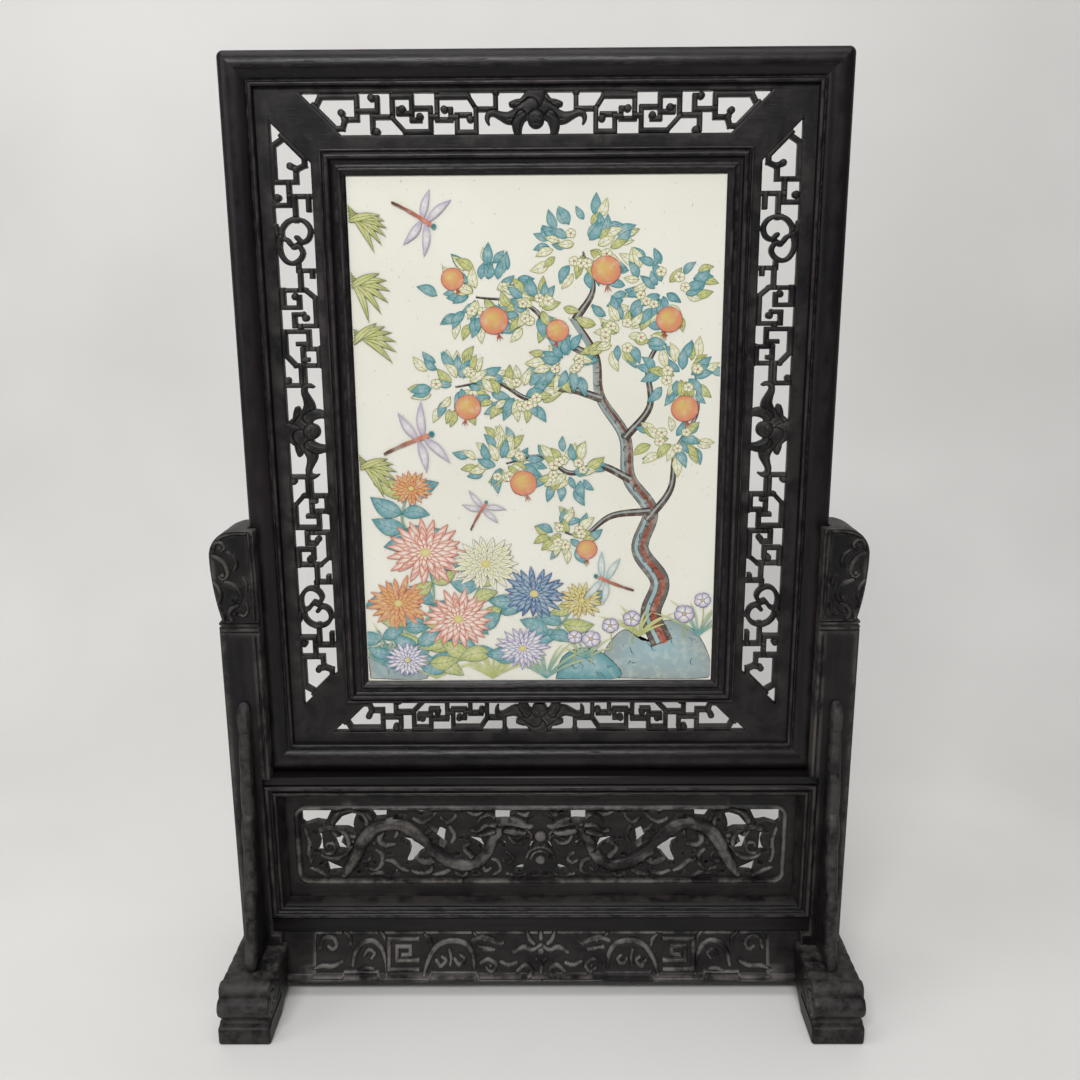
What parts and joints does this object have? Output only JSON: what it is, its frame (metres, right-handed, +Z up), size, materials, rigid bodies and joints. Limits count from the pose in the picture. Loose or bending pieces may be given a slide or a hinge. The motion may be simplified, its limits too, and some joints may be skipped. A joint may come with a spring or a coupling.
{
  "type": "porcelain table screen",
  "caption": "Dark hardwood table screen: porcelain plaque in a moulded frame with pierced fret boards, standing in the grooved posts of a low carved stand.",
  "frame": {"origin": "bottom centre of the whole screen and stand, on the surface that the feet stand on", "axes": "+Z up, -Y towards the viewer of the painted face, +X to that viewer's right"},
  "size_m": [0.5404, 0.1842, 0.79],
  "materials": {
    "dark_wood": "waxed near-black hardwood, dusty in the carving",
    "porcelain": "opaque glossy cream glaze",
    "backing_wood": "thin stained board, matt"
  },
  "bodies": {
    "stand": {"left_post": "dark_wood", "right_post": "dark_wood", "left_foot": "dark_wood", "right_foot": "dark_wood", "left_front_bracket": "dark_wood", "left_back_bracket": "dark_wood", "right_front_bracket": "dark_wood", "right_back_bracket": "dark_wood", "upper_rail": "dark_wood", "lower_rail": "dark_wood", "waist_left_stile": "dark_wood", "waist_right_stile": "dark_wood", "waist_panel": "dark_wood", "front_apron": "dark_wood", "back_apron": "dark_wood"},
    "screen": {"frame_top_rail": "dark_wood", "frame_bottom_rail": "dark_wood", "frame_left_stile": "dark_wood", "frame_right_stile": "dark_wood", "fret_top": "dark_wood", "fret_bottom": "dark_wood", "fret_left": "dark_wood", "fret_right": "dark_wood", "inner_top_moulding": "dark_wood", "inner_bottom_moulding": "dark_wood", "inner_left_moulding": "dark_wood", "inner_right_moulding": "dark_wood", "porcelain_plaque": "porcelain", "back_board": "backing_wood", "back_bead_top": "dark_wood", "back_bead_bottom": "dark_wood", "back_bead_left": "dark_wood", "back_bead_right": "dark_wood"}
  },
  "joints": [
    {"name": "screen_lift", "type": "slide", "parent": "stand", "child": "screen", "axis": [0, 0, 1], "range_m": [0, 0.225]}
  ]
}
